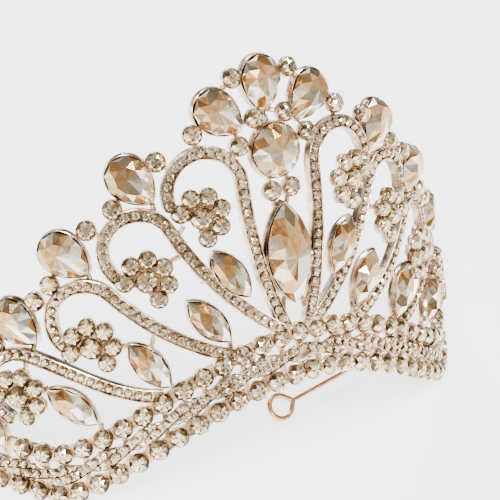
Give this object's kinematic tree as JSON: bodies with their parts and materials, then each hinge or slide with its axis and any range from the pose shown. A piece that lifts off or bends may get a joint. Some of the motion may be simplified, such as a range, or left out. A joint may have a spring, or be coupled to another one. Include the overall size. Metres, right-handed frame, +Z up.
{
  "type": "crown",
  "caption": "Rigid jewelled crown with a raised pointed front, an open back, crook scrolls, a band of round stones and two looped wires for hair pins.",
  "frame": {"origin": "on the table below the middle of the crown's bounding box, on the plane through the middle of its front", "axes": "+Z up from the table, -Y towards the raised front, +X to the viewer's right when looking at the front"},
  "size_m": [0.1514, 0.1209, 0.0968],
  "materials": {
    "crown_metal": "polished rose-gold plate",
    "clear_crystal": "foil-backed, faceted",
    "champagne_crystal": "foil-backed, faceted",
    "wire_metal": "polished rose-gold plate"
  },
  "bodies": {
    "root": {"frame": "crown_metal", "centre_round": "clear_crystal", "band_top_stones": "clear_crystal", "band_bottom_stones": "clear_crystal", "flower_stones_left": "clear_crystal", "flower_stones_right": "clear_crystal", "accent_stones": "clear_crystal", "centre_navette": "champagne_crystal", "pear_centre": "champagne_crystal", "pear_left_1": "champagne_crystal", "pear_left_2": "champagne_crystal", "pear_left_3": "champagne_crystal", "pear_left_4": "champagne_crystal", "pear_right_1": "champagne_crystal", "pear_right_2": "champagne_crystal", "pear_right_3": "champagne_crystal", "pear_right_4": "champagne_crystal", "navette_left_1": "champagne_crystal", "navette_left_2": "champagne_crystal", "navette_left_3": "champagne_crystal", "navette_left_4": "champagne_crystal", "navette_left_5": "champagne_crystal", "navette_right_1": "champagne_crystal", "navette_right_2": "champagne_crystal", "navette_right_3": "champagne_crystal", "navette_right_4": "champagne_crystal", "navette_right_5": "champagne_crystal", "pin_wire_left": "wire_metal", "pin_wire_right": "wire_metal"}
  },
  "joints": []
}
